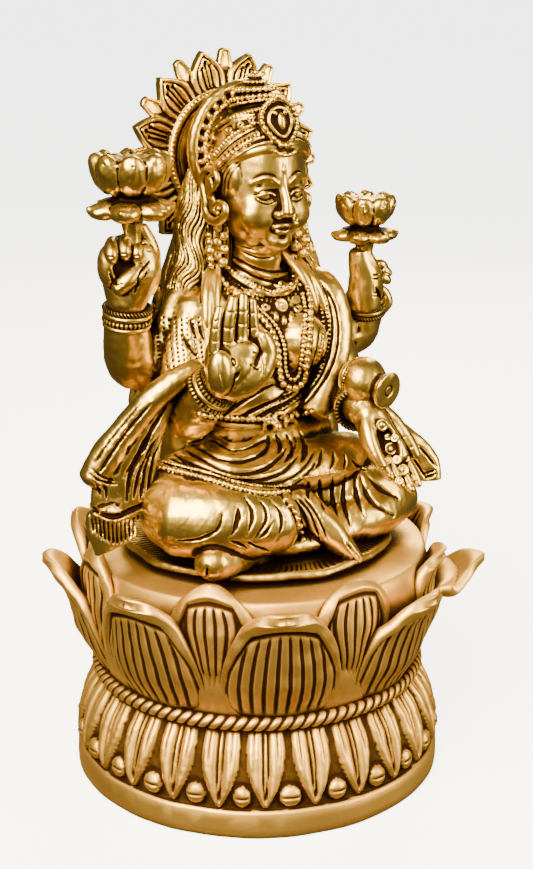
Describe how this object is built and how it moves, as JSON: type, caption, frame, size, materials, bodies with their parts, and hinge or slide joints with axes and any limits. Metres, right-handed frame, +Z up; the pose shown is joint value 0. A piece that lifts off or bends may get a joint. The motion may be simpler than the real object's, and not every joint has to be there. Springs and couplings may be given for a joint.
{
  "type": "seated goddess figure",
  "caption": "Cast brass figure of a four-armed seated goddess with a petalled halo, on a round lotus pedestal with turned-out petals.",
  "frame": {"origin": "middle of the pedestal's round underside", "axes": "+Z up; the figure looks along -Y, so +X is on its own left side"},
  "size_m": [0.1792, 0.1736, 0.3044],
  "materials": {
    "pedestal_brass": "rough cast, wiped, with dark brown patina in the grooves",
    "figure_brass": "polished on the high places, dark brown patina in the hollows"
  },
  "bodies": {
    "root": {"lotus_pedestal": "pedestal_brass", "figure": "figure_brass"}
  },
  "joints": []
}
